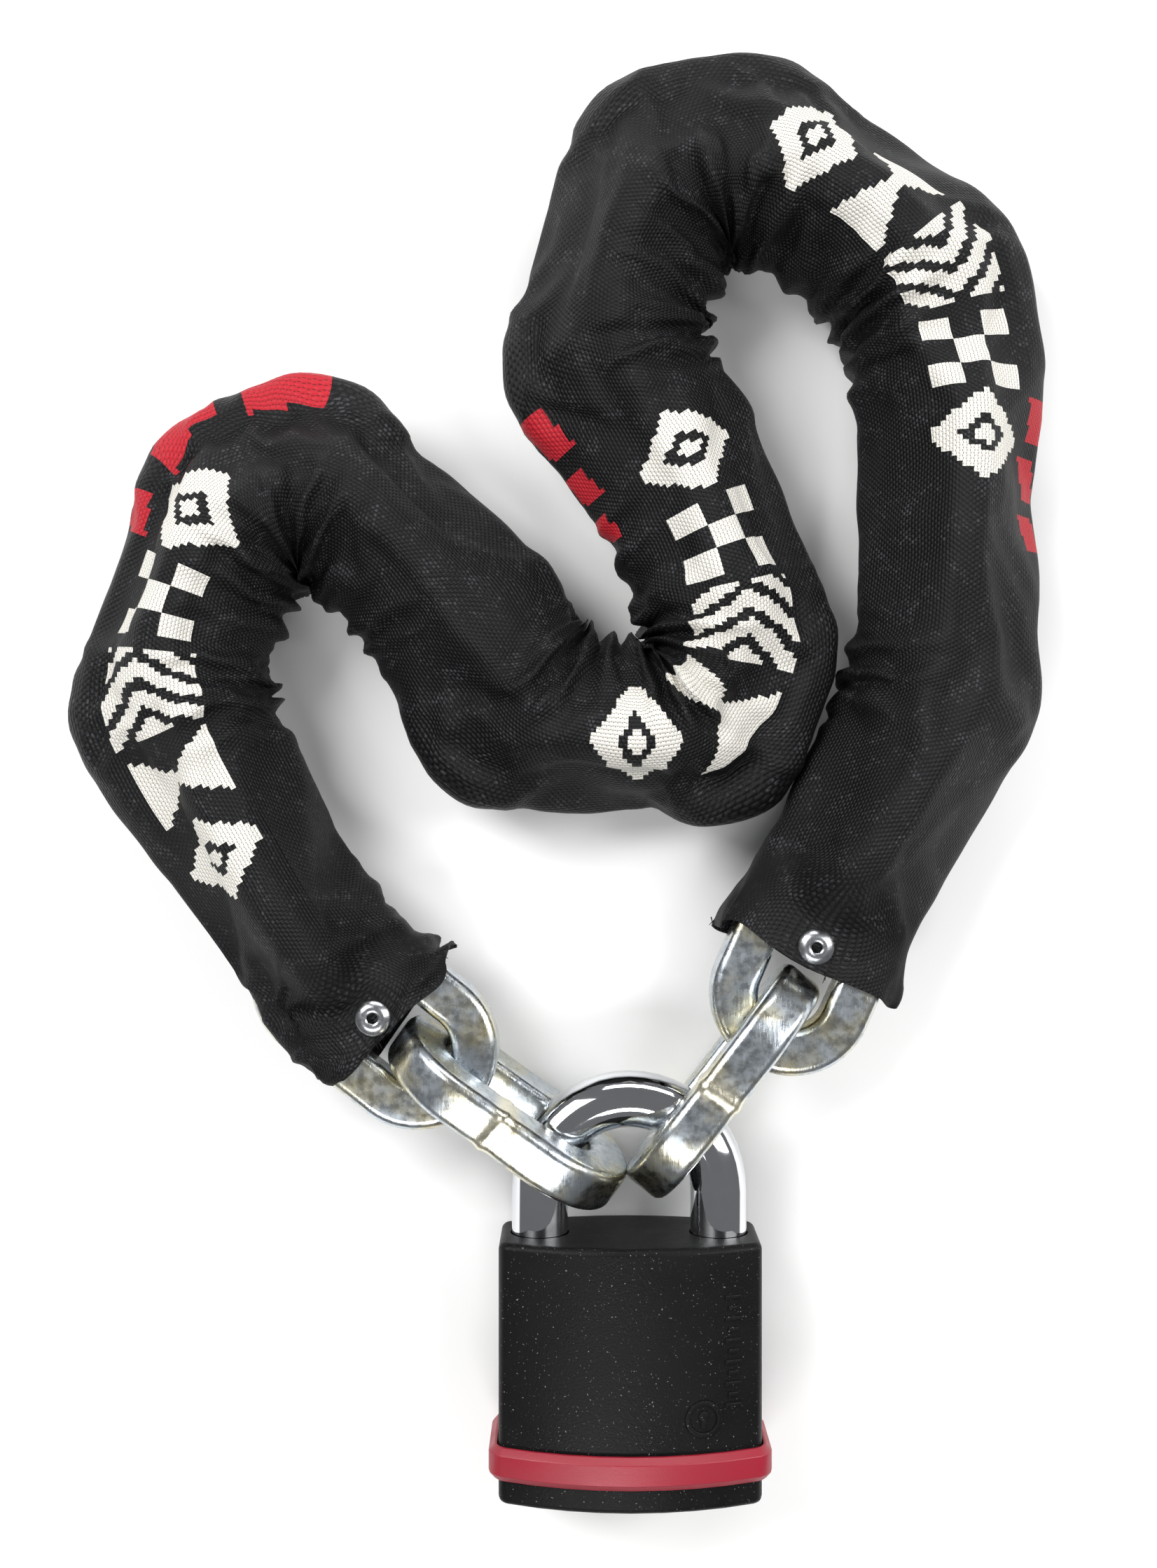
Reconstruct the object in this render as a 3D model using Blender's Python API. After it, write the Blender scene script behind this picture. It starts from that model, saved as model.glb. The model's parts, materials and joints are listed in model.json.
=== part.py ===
"""Chain lock: a ball-locking padlock holding both end links of a sleeved, square-link chain.

The lock lies on its back with the shackle pointing to +Y and the keyway end to -Y.
The chain lies in a closed loop in the XY plane. Dimensions are in millimetres and
become metres when a mesh is made. Depth below the body's top face is called v.
"""

import math

import bmesh
import bpy
from mathutils import Vector

# ---------------------------------------------------------------- driving dimensions
MM = 0.001
MID_Z = 20.3            # height of the mid-plane of lock and chain
GAP = 0.3               # clearance between touching pieces

LOCK_X = 17.17
LOCK_TOP_Y = -108.291
BODY_HALF_WIDTH = 30.3
BODY_HALF_DEPTH = 18.0
BODY_LENGTH = 59.8
BODY_CORNER = 3.0
BODY_FACE_RADIUS = 71.4
BODY_ROUND = 1.6

RING_TOP = 46.3
RING_LENGTH = 7.6
RING_GROW = 2.3

LEG_X = 21.0
BAR_R = 6.6
BOW_RISE = 10.3         # bow centre above the body's top face
TOE_V = 17.0
HEEL_V = 34.0
LEG_HOLE_R = 6.9

BALL_V = 10.0
BALL_R = 4.0
BALL_X = 13.0
BALL_TRAVEL = 3.0
LIFT = 18.0
CAM_R = 8.7
CAM_LENGTH = 7.0
CAM_SHAFT_R = 3.5
CHAMBER_R = 9.3

CYL_TOP_V = 24.0
CYL_END_V = 59.4
CYL_R = 9.4
BIBLE_HALF = 3.5
BIBLE_TOP = 15.8
PLUG_R = 6.0
PIN_R = 1.2
PIN_FIRST_V = 29.0
PIN_STEP = 4.4
PIN_COUNT = 5

BAR = 11.0              # link bar, square with rounded corners
LINK_INNER = 41.0
LINK_WINDOW = 16.0
PITCH_UPRIGHT = LINK_INNER + BAR
PITCH_FLAT = 25.0
LINK_COUNT = 21
CHAIN_START = (-32.435, -64.841)
LINK_01_HEADING = 144.7
LINK_21_HEADING = -127.8
# heading of each sleeved link, in degrees, from the left end round to the right end
HEADINGS = (142.0, 120.6, 128.0, 72.4, 19.9, -45.6, -79.9, -4.9, 70.1, 113.1,
            139.1, 71.9, 8.3, -36.4, -80.3, -92.2, -89.8, -121.0, -114.0)

SLEEVE_R = 20.3
SLEEVE_WALL = 0.6
SLEEVE_END = 7.3        # sleeve past the rivet
SLEEVE_END_HALF = (22.6, 25.2)
SLEEVE_END_HEIGHT = 7.3
RIVET_R = 2.2
RIVET_HEAD_R = 4.4

COLOURS = {
    "body": (0.020, 0.021, 0.023, 0.1, 0.45),
    "ring": (0.55, 0.015, 0.015, 0.0, 0.5),
    "chrome": (0.80, 0.81, 0.82, 1.0, 0.08),
    "zinc": (0.62, 0.63, 0.62, 1.0, 0.35),
    "steel": (0.55, 0.55, 0.56, 1.0, 0.3),
    "brass": (0.72, 0.52, 0.22, 1.0, 0.3),
    "aluminium": (0.75, 0.76, 0.78, 1.0, 0.35),
    "sleeve": (0.015, 0.016, 0.018, 0.0, 0.85),
}


# ---------------------------------------------------------------- scene and mesh helpers
def clear_scene():
    """Remove every object that the new file starts with."""
    for item in list(bpy.data.objects):
        bpy.data.objects.remove(item, do_unlink=True)


def new_material(node, kind):
    """Principled material of one node, in the colour of its kind."""
    red, green, blue, metallic, roughness = COLOURS[kind]
    material = bpy.data.materials.new(node + "_" + kind)
    material.use_nodes = True
    shader = material.node_tree.nodes["Principled BSDF"]
    shader.inputs["Base Color"].default_value = (red, green, blue, 1.0)
    shader.inputs["Metallic"].default_value = metallic
    shader.inputs["Roughness"].default_value = roughness
    return material


def new_object(name, shape, pivot, kind=None):
    """Object from (points, faces) in row millimetres, with its origin at pivot."""
    points, faces = shape
    start = Vector(pivot)
    mesh = bpy.data.meshes.new(name)
    mesh.from_pydata([(Vector(p) - start) * MM for p in points], [], faces)
    work = bmesh.new()
    work.from_mesh(mesh)
    bmesh.ops.recalc_face_normals(work, faces=work.faces)
    work.to_mesh(mesh)
    work.free()
    if kind:
        mesh.materials.append(new_material(name, kind))
    item = bpy.data.objects.new(name, mesh)
    item.location = start * MM
    bpy.context.scene.collection.objects.link(item)
    return item


def cut(target, cutters):
    """Subtract each cutter object from the target."""
    for cutter in cutters:
        cutter.hide_render = True
        cutter.display_type = "WIRE"
        modifier = target.modifiers.new(cutter.name, "BOOLEAN")
        modifier.operation = "DIFFERENCE"
        modifier.solver = "EXACT"
        modifier.object = cutter


def loft(rings, closed=False):
    """Skin through rings of equal size; closed joins the last ring to the first."""
    size = len(rings[0])
    points = [p for ring in rings for p in ring]
    faces = []
    for row in range(len(rings) if closed else len(rings) - 1):
        near, far = row * size, (row + 1) % len(rings) * size
        for i in range(size):
            j = (i + 1) % size
            faces.append((near + i, near + j, far + j, far + i))
    if not closed:
        faces.append(tuple(range(size)))
        faces.append(tuple(range(len(points) - size, len(points))))
    return points, faces


def lathe(profile, centre, axis, steps, hollow=False):
    """Turned solid from (radius, distance along axis) pairs."""
    along = Vector(axis).normalized()
    side = along.orthogonal().normalized()
    other = along.cross(side)
    rings = []
    for radius, height in profile:
        middle = Vector(centre) + along * height
        rings.append([middle + (side * math.cos(2 * math.pi * k / steps)
                                + other * math.sin(2 * math.pi * k / steps)) * radius
                      for k in range(steps)])
    return loft(rings, hollow)


def lock_point(x, v, z):
    """Row position of a point given in the lock's own directions."""
    return Vector((LOCK_X + x, LOCK_TOP_Y - v, MID_Z + z))


def bore_y(name, x, z, radius, start_v, end_v, steps=24):
    """Cutter along the lock's length."""
    shape = lathe([(radius, 0), (radius, end_v - start_v)],
                  lock_point(x, start_v, z), (0, -1, 0), steps)
    return new_object(name, shape, lock_point(x, start_v, z))


# ---------------------------------------------------------------- padlock
def body_outline(grow, face_steps=8, corner_steps=3):
    """Cross-section of the body in x and z, moved outwards by grow."""
    inner_x = BODY_HALF_WIDTH - BODY_CORNER
    arc = BODY_FACE_RADIUS - BODY_CORNER
    half = math.asin(inner_x / arc)
    centre_z = BODY_HALF_DEPTH - BODY_FACE_RADIUS
    corner_z = centre_z + arc * math.cos(half)
    quarter = []
    for k in range(corner_steps + 1):
        angle = (math.pi / 2 - half) * k / corner_steps
        reach = BODY_CORNER + grow
        quarter.append((inner_x + reach * math.cos(angle), corner_z + reach * math.sin(angle)))
    face = []
    for k in range(1, face_steps):
        angle = math.pi / 2 - half + 2 * half * k / face_steps
        reach = BODY_FACE_RADIUS + grow
        face.append((reach * math.cos(angle), centre_z + reach * math.sin(angle)))
    upper = quarter + face + [(-x, z) for x, z in reversed(quarter)]
    return upper + [(-x, -z) for x, z in upper]


def outline_ring(grow, v):
    """Body outline as row points at one depth."""
    return [lock_point(x, v, z) for x, z in body_outline(grow)]


def make_body():
    """Solid body with leg holes, ball passage, cam chamber and cylinder bore."""
    edge = BODY_ROUND
    steps = [(-edge, 0), (-0.62 * edge, 0.08 * edge), (-0.29 * edge, 0.29 * edge),
             (-0.08 * edge, 0.62 * edge), (0, edge)]
    steps += [(grow, BODY_LENGTH - v) for grow, v in reversed(steps)]
    shape = loft([outline_ring(grow, v) for grow, v in steps])
    body = new_object("padlock_body", shape, lock_point(0, 0, 0), "body")
    passage = lathe([(BALL_R + GAP, 0), (BALL_R + GAP, 2 * LEG_X)],
                    lock_point(-LEG_X, BALL_V, 0), (1, 0, 0), 20)
    cutters = [
        bore_y("cut_toe_hole", -LEG_X, 0, LEG_HOLE_R, -5, 25, 32),
        bore_y("cut_heel_hole", LEG_X, 0, LEG_HOLE_R, -5, 48.2, 32),
        bore_y("cut_screw_hole", -LEG_X, 0, 2.8, 20, 43),
        new_object("cut_ball_passage", passage, lock_point(-LEG_X, BALL_V, 0)),
        bore_y("cut_cam_chamber", 0, 0, CHAMBER_R, BALL_V - 4.2, 30),
        new_object("cut_cylinder_bore", cylinder_outline(GAP, CYL_TOP_V - 0.3, 65),
                   lock_point(0, CYL_TOP_V, 0)),
    ]
    cut(body, cutters)


def make_ring():
    """Moulded bumper ring with cut corners."""
    end = RING_TOP + RING_LENGTH
    steps = [(GAP, RING_TOP), (RING_GROW - 1.3, RING_TOP), (RING_GROW, RING_TOP + 1.5),
             (RING_GROW, end - 1.5), (RING_GROW - 1.3, end), (GAP, end)]
    shape = loft([outline_ring(grow, v) for grow, v in steps], closed=True)
    new_object("bumper_ring", shape, lock_point(0, RING_TOP, 0), "ring")


def bar_ring(centre, direction, radius, steps=32):
    """Circle of points round a bar that lies in the XY plane."""
    side = Vector((-direction.y, direction.x, 0))
    return [centre + side * radius * math.cos(2 * math.pi * k / steps)
            + Vector((0, 0, radius * math.sin(2 * math.pi * k / steps)))
            for k in range(steps)]


def make_shackle(arc_steps=24):
    """Round bar bent to a bow, with a ball groove in each leg."""
    down, up = Vector((0, -1, 0)), Vector((0, 1, 0))
    rings = [bar_ring(lock_point(-LEG_X, TOE_V, 0), up, BAR_R - 1.2),
             bar_ring(lock_point(-LEG_X, TOE_V - 1.2, 0), up, BAR_R)]
    for k in range(arc_steps + 1):
        angle = math.pi * (1 - k / arc_steps)
        middle = lock_point(LEG_X * math.cos(angle), -BOW_RISE - LEG_X * math.sin(angle), 0)
        heading = Vector((math.sin(angle), -math.cos(angle), 0))
        rings.append(bar_ring(middle, heading, BAR_R))
    rings += [bar_ring(lock_point(LEG_X, HEEL_V - 1.2, 0), down, BAR_R),
              bar_ring(lock_point(LEG_X, HEEL_V, 0), down, BAR_R - 1.2)]
    shackle = new_object("shackle", loft(rings), lock_point(0, 0, 0), "chrome")
    cut(shackle, [ball_groove("cut_groove_toe", -1), ball_groove("cut_groove_heel", 1)])


def ball_groove(name, side):
    """Cutter swept by a ball as the shackle rises past it."""
    start = lock_point(side * BALL_X, BALL_V, 0)
    end = lock_point(side * (BALL_X - BALL_TRAVEL), BALL_V + LIFT, 0)
    length = (end - start).length
    reach = BALL_R + GAP
    caps = [(reach * math.sin(a), -reach * math.cos(a))
            for a in (math.radians(d) for d in (12, 30, 50, 70, 90))]
    profile = caps + [(r, length - h) for r, h in reversed(caps)]
    return new_object(name, lathe(profile, start, end - start, 20), start)


def make_balls():
    """Two locking balls between the cam and the shackle legs."""
    for name, side in (("locking_ball_toe", -1), ("locking_ball_heel", 1)):
        centre = lock_point(side * BALL_X, BALL_V, 0)
        profile = [(BALL_R * math.sin(a), -BALL_R * math.cos(a))
                   for a in (math.radians(15 * k + 7.5) for k in range(12))]
        new_object(name, lathe(profile, centre, (0, 0, 1), 14), centre, "steel")


def make_cam(steps=32):
    """Two-lobed cam whose radius falls evenly as it turns, on a round shaft."""
    def lobe(k):
        turn = 2 * math.pi * k / steps
        share = abs((2 * turn / math.pi + 1) % 2 - 1)
        return turn, CAM_R - BALL_TRAVEL * share

    start, end = BALL_V - CAM_LENGTH / 2, BALL_V + CAM_LENGTH / 2
    rings = [[lock_point(r * math.cos(t), v, r * math.sin(t))
              for t, r in (lobe(k) for k in range(steps))] for v in (start, end)]
    for v in (end, CYL_TOP_V + 0.7):
        rings.append([lock_point(CAM_SHAFT_R * math.cos(t), v, CAM_SHAFT_R * math.sin(t))
                      for t, _ in (lobe(k) for k in range(steps))])
    new_object("cam", loft(rings), lock_point(0, BALL_V, 0), "steel")


def cylinder_outline(grow, start_v, end_v, arc_steps=20):
    """Round cylinder with a square pin housing above it, as a solid along v."""
    half, top, radius = BIBLE_HALF + grow, BIBLE_TOP + grow, CYL_R + grow
    first = math.acos(half / radius)
    section = [(half, top)]
    for k in range(arc_steps + 1):
        angle = first - k / arc_steps * (math.pi + 2 * first)
        section.append((radius * math.cos(angle), radius * math.sin(angle)))
    section.append((-half, top))
    return loft([[lock_point(x, v, z) for x, z in section] for v in (start_v, end_v)])


def pin_depths():
    """Depth of each pin stack below the body's top."""
    return [PIN_FIRST_V + PIN_STEP * k for k in range(PIN_COUNT)]


def upright_pin(name, v, low, high, radius, kind=None, steps=10):
    """Round pin or cutter standing along z inside the lock."""
    foot = lock_point(0, v, low)
    shape = lathe([(radius, 0), (radius, high - low)], foot, (0, 0, 1), steps)
    return new_object(name, shape, foot, kind)


def make_cylinder():
    """Cylinder housing, turning plug and the five pin stacks."""
    shell = new_object("cylinder_shell", cylinder_outline(0, CYL_TOP_V, CYL_END_V),
                       lock_point(0, CYL_TOP_V, 0), "brass")
    cut(shell, [bore_y("cut_plug_bore", 0, 0, PLUG_R + GAP, 20, 65, 28)]
        + [upright_pin(f"cut_driver_{k + 1}", v, 4, 14.6, PIN_R + GAP, steps=12)
           for k, v in enumerate(pin_depths())])
    plug_shape = lathe([(PLUG_R, 0), (PLUG_R, CYL_END_V - CYL_TOP_V - 1)],
                       lock_point(0, CYL_TOP_V + 1, 0), (0, -1, 0), 28)
    plug = new_object("plug", plug_shape, lock_point(0, CYL_TOP_V + 1, 0), "brass")
    slot = [[lock_point(x, v, z) for x, z in ((-0.8, -4.6), (0.8, -4.6), (0.8, 1), (-0.8, 1))]
            for v in (26.5, 65)]
    cut(plug, [new_object("cut_keyway", loft(slot), lock_point(0, 65, 0))]
        + [upright_pin(f"cut_key_pin_{k + 1}", v, 0.1, 8, PIN_R + GAP, steps=12)
           for k, v in enumerate(pin_depths())])
    for k, v in enumerate(pin_depths()):
        upright_pin(f"key_pin_{k + 1}", v, 0.4, 5.8, PIN_R, "brass")
        upright_pin(f"driver_pin_{k + 1}", v, 6.2, 10.2, PIN_R, "steel")
        make_coil(f"pin_spring_{k + 1}", lock_point(0, v, 10.5), (0, 0, 1), 0.95, 0.2, 3.9, 4)


def make_coil(name, start, axis, radius, wire, length, turns, sides=5, per_turn=9):
    """Helical compression spring from one end point."""
    along = Vector(axis)
    side = along.orthogonal().normalized()
    other = along.cross(side)
    total = turns * per_turn
    rings = []
    for k in range(total + 1):
        turn = 2 * math.pi * k / per_turn
        out = side * math.cos(turn) + other * math.sin(turn)
        rise = wire + (length - 2 * wire) * k / total
        centre = start + along * rise + out * radius
        rings.append([centre + (out * math.cos(2 * math.pi * s / sides)
                                + along * math.sin(2 * math.pi * s / sides)) * wire
                      for s in range(sides)])
    new_object(name, loft(rings), start, "steel")


def make_small_parts():
    """Shackle spring, drill plate and retaining screw."""
    make_coil("shackle_spring", lock_point(LEG_X, HEEL_V + GAP, 0), (0, -1, 0),
              5.0, 0.7, 13.5, 5, 6, 12)
    plate = [(4.0, 0), (9.0, 0), (9.0, 2.4), (4.0, 2.4)]
    new_object("drill_plate", lathe(plate, lock_point(0, 21, 0), (0, -1, 0), 24, True),
               lock_point(0, 21, 0), "steel")
    screw = [(1.2, 1.2), (1.2, 0), (4.4, 0), (4.6, 0.3), (4.6, 3.0), (2.5, 3.3), (2.5, 18)]
    screw_top = lock_point(-LEG_X, 21.6, 0)
    new_object("retaining_screw", lathe(screw, screw_top, (0, -1, 0), 16),
               screw_top, "steel")


# ---------------------------------------------------------------- chain
def unit(degrees):
    """Horizontal unit vector at a heading."""
    turn = math.radians(degrees)
    return Vector((math.cos(turn), math.sin(turn), 0))


def all_headings():
    """Heading of every link, from link 01 to link 21."""
    return (LINK_01_HEADING,) + HEADINGS + (LINK_21_HEADING,)


def chain_pivots():
    """Pivot between each pair of neighbouring links, at the mid-plane."""
    points = [Vector((CHAIN_START[0], CHAIN_START[1], MID_Z))]
    for k, heading in enumerate(HEADINGS):
        step = PITCH_FLAT if k % 2 == 0 else PITCH_UPRIGHT
        points.append(points[-1] + unit(heading) * step)
    return points


def link_centres():
    """Centre of every link, from link 01 to link 21."""
    pivots = chain_pivots()
    half = PITCH_UPRIGHT / 2
    centres = [pivots[0] - unit(LINK_01_HEADING) * half]
    centres += [(a + b) / 2 for a, b in zip(pivots, pivots[1:])]
    return centres + [pivots[-1] + unit(LINK_21_HEADING) * half]


def section_points(corner_steps):
    """Rounded-square bar section, as outward and sideways offsets."""
    radius = 3.0
    inner = BAR / 2 - radius
    points = []
    for quarter in range(4):
        for k in range(corner_steps + 1):
            angle = math.pi / 2 * (quarter + k / corner_steps)
            sx = 1 if quarter in (0, 3) else -1
            sy = 1 if quarter in (0, 1) else -1
            points.append((sx * inner + radius * math.cos(angle),
                           sy * inner + radius * math.sin(angle)))
    return points


def link_stations(arc_steps):
    """Centreline of a link with a slightly proud butt weld in one leg."""
    straight = (LINK_INNER - LINK_WINDOW) / 2
    bend = (LINK_WINDOW + BAR) / 2
    stations = []
    for side in (1, -1):
        for k in range(arc_steps + 1):
            angle = side * math.pi / 2 - math.pi * k / arc_steps
            out = Vector((math.cos(angle), math.sin(angle), 0))
            stations.append((Vector((side * straight, 0, 0)) + out * bend, out, 1.0))
        if side == 1:
            for x, grow in ((1.6, 1.0), (0.7, 1.035), (-0.7, 1.035), (-1.6, 1.0)):
                stations.append((Vector((x, -bend, 0)), Vector((0, -1, 0)), grow))
    return stations


def make_link(number, centre, heading, upright):
    """One welded link; upright links stand on edge, the others lie flat."""
    seen = number in (1, 2, LINK_COUNT - 1, LINK_COUNT)
    ahead = unit(heading)
    across = Vector((0, 0, 1)) if upright else Vector((-ahead.y, ahead.x, 0))
    normal = ahead.cross(across)
    section = section_points(3 if seen else 1)
    rings = []
    for place, out, grow in link_stations(10 if seen else 6):
        middle = centre + ahead * place.x + across * place.y
        outward = ahead * out.x + across * out.y
        rings.append([middle + outward * (a * grow) + normal * (b * grow) for a, b in section])
    return new_object(f"link_{number:02d}", loft(rings, closed=True), centre, "zinc")


def make_chain():
    """Twenty-one links, alternately upright and flat."""
    for k, (centre, heading) in enumerate(zip(link_centres(), all_headings())):
        make_link(k + 1, centre, heading, k % 2 == 0)


# ---------------------------------------------------------------- sleeve
def smooth(value):
    """Smooth step from 0 to 1."""
    value = min(1.0, max(0.0, value))
    return value * value * (3 - 2 * value)


def end_stations(rivet, inward, half_end):
    """Flattened stations from a cut end to just before the first bend."""
    across = Vector((-inward.y, inward.x, 0))
    stations = []
    for place in (-SLEEVE_END, -3.0, 4.8, 8.0):
        blend = smooth((place + SLEEVE_END) / (SLEEVE_END + 12.5))
        half = half_end + (SLEEVE_R - half_end) * blend
        middle = rivet + inward * place
        stations.append((middle + across * half, middle - across * half, end_height(place)))
    return stations


def end_height(place):
    """Half-height and squareness of the sleeve at a distance inward of the rivet."""
    rise = smooth((place - 4.8) / 11.7)
    return SLEEVE_END_HEIGHT + (SLEEVE_R - SLEEVE_END_HEIGHT) * rise, 4.0 - 2.0 * rise


def bend_stations(pivot, before, after, height):
    """Stations round one pivot: one for a slight turn, a fan of three for a bend."""
    turn = math.radians((after - before + 180) % 360 - 180)
    middle = math.radians(before) + turn / 2
    inside = 1 if turn > 0 else -1
    inner = pivot + inside * unit(math.degrees(middle) + 90) * (SLEEVE_R / math.cos(turn / 2))
    if abs(turn) < math.radians(23):
        outer = pivot * 2 - inner
        fan = [(inner, outer)]
    else:
        reach = SLEEVE_R / math.cos(turn / 6)
        fan = []
        for share, slide in ((-1 / 3, -0.4), (0, 0), (1 / 3, 0.4)):
            out = unit(math.degrees(middle + turn * share) + 90) * -inside
            wall = unit(before if slide < 0 else after)
            fan.append((inner + wall * slide, pivot + out * reach))
    if inside > 0:
        return [(a, b, height) for a, b in fan]
    return [(b, a, height) for a, b in fan]


def sleeve_stations():
    """Left edge, right edge and height of the sleeve all along the chain."""
    pivots = chain_pivots()
    round_tube = (SLEEVE_R, 2.0)
    first = (pivots[0] + pivots[1]) / 2
    last = (pivots[-1] + pivots[-2]) / 2
    stations = end_stations(first, unit(HEADINGS[0]), SLEEVE_END_HALF[0])
    for k in range(1, len(HEADINGS)):
        at_end = k in (1, len(HEADINGS) - 1)
        height = end_height(PITCH_FLAT / 2) if at_end else round_tube
        if k == len(HEADINGS) - 1:
            stations.append(side_pair(pivots[k] - unit(HEADINGS[k - 1]) * 7, HEADINGS[k - 1]))
        stations += bend_stations(pivots[k], HEADINGS[k - 1], HEADINGS[k], height)
        if k == 1:
            stations.append(side_pair(pivots[k] + unit(HEADINGS[k]) * 7, HEADINGS[k]))
    tail = end_stations(last, unit(HEADINGS[-1] + 180), SLEEVE_END_HALF[1])
    return stations + [(right, left, height) for left, right, height in reversed(tail)]


def side_pair(middle, heading):
    """Round station on a straight run."""
    across = unit(heading + 90) * SLEEVE_R
    return middle + across, middle - across, (SLEEVE_R, 2.0)


def sleeve_ring(left, right, height, inset, steps=16):
    """Closed section between two edge points, moved inwards by inset."""
    middle = (left + right) / 2
    half = (left - right).length / 2 - inset
    across = (left - right).normalized()
    rise, power = height
    ring = []
    for k in range(steps):
        angle = 2 * math.pi * k / steps
        c, s = math.cos(angle), math.sin(angle)
        wide = math.copysign(abs(c) ** (2 / power), c) * half
        high = math.copysign(abs(s) ** (2 / power), s) * (rise - inset)
        ring.append(middle + across * wide + Vector((0, 0, high)))
    return ring


def make_sleeve():
    """Hollow woven sleeve, open at both ends and pierced for the two rivets."""
    stations = sleeve_stations()
    outside = [sleeve_ring(*station, 0.0) for station in stations]
    inside = [sleeve_ring(*station, SLEEVE_WALL) for station in stations]
    shape = loft(outside + inside[::-1], closed=True)
    pivots = chain_pivots()
    middle = pivots[len(pivots) // 2]
    sleeve = new_object("sleeve", shape, middle, "sleeve")
    cutters = []
    for name, a, b in (("left", 0, 1), ("right", -1, -2)):
        foot = (pivots[a] + pivots[b]) / 2 - Vector((0, 0, 15))
        shape = lathe([(RIVET_R + GAP, 0), (RIVET_R + GAP, 30)], foot, (0, 0, 1), 12)
        cutters.append(new_object("cut_rivet_" + name, shape, foot))
        make_rivet(name, (pivots[a] + pivots[b]) / 2)
    cut(sleeve, cutters)


def make_rivet(name, centre):
    """Blind rivet through both layers of sleeve, with a backing washer below."""
    top = SLEEVE_END_HEIGHT + GAP
    low = -top - 1.0
    profile = [(3.4, low - 2.6), (3.9, low - 1.6), (3.2, low - GAP), (RIVET_R, low - GAP),
               (RIVET_R, top), (RIVET_HEAD_R, top), (RIVET_HEAD_R - 0.5, top + 0.8),
               (RIVET_HEAD_R - 1.6, top + 1.5), (1.4, top + 1.6), (1.3, top - 1.5)]
    new_object("rivet_" + name, lathe(profile, centre, (0, 0, 1), 20), centre, "aluminium")
    washer = [(2.5, 0), (5.5, 0), (5.5, 0.7), (2.5, 0.7)]
    foot = centre + Vector((0, 0, low))
    new_object("rivet_washer_" + name, lathe(washer, foot, (0, 0, 1), 16, True),
               foot, "steel")


def main():
    """Build every piece of the lock and chain."""
    clear_scene()
    make_body()
    make_ring()
    make_shackle()
    make_balls()
    make_cam()
    make_cylinder()
    make_small_parts()
    make_chain()
    make_sleeve()


main()
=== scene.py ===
"""Visual model of a chain lock: padlock, square-link chain and woven sleeve, on a pale floor.

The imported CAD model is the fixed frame. Rigid pieces keep their CAD shape and get a finish,
the four bare links and the two rivets are rebuilt in finer detail, and the sleeve is
simulated as cloth over the links and then split at every joint of the chain.
"""

from __future__ import annotations

import json
import logging
import math
import random
from collections.abc import Callable
from dataclasses import dataclass, field
from enum import Enum
from functools import partial

import bmesh
import bpy
import numpy as np
from bmesh.types import BMEdge, BMesh, BMFace, BMVert
from bpy.types import Material, Mesh, Node, NodeSocket, NodeTree, Object
from mathutils import Matrix, Vector, noise

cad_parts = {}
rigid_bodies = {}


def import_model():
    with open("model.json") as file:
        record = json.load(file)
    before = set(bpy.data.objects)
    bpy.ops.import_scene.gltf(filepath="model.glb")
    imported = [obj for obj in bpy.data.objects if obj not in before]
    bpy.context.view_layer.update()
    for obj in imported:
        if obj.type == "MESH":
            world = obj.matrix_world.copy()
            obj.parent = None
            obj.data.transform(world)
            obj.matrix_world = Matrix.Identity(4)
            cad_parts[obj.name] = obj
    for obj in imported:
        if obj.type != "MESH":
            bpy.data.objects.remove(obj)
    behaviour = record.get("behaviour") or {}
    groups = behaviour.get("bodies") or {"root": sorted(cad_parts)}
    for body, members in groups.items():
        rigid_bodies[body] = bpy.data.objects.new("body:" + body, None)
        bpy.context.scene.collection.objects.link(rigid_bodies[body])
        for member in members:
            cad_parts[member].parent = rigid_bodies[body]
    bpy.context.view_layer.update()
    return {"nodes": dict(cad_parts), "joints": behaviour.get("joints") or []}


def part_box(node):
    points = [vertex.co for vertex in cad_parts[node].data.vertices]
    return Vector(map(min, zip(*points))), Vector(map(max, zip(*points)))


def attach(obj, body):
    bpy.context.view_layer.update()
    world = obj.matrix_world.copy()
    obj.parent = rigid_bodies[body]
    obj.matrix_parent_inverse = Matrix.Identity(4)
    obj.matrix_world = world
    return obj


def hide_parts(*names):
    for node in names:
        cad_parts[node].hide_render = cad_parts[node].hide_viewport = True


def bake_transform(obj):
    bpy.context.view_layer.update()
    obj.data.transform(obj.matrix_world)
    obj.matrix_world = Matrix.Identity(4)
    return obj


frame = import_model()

LOG = logging.getLogger("chain_lock")
MM = 0.001
SEED = 7


# --- nodes and colours
def linear(code: str) -> tuple[float, float, float, float]:
    """Turn an sRGB hex colour into linear RGBA.

    Args:
        code: colour such as "#1a2b3c".

    Returns:
        Linear red, green, blue and an alpha of one.
    """
    channels = [int(code[i:i + 2], 16) / 255 for i in (1, 3, 5)]
    red, green, blue = (c / 12.92 if c <= 0.04045 else ((c + 0.055) / 1.055) ** 2.4
                        for c in channels)
    return red, green, blue, 1.0


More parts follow.
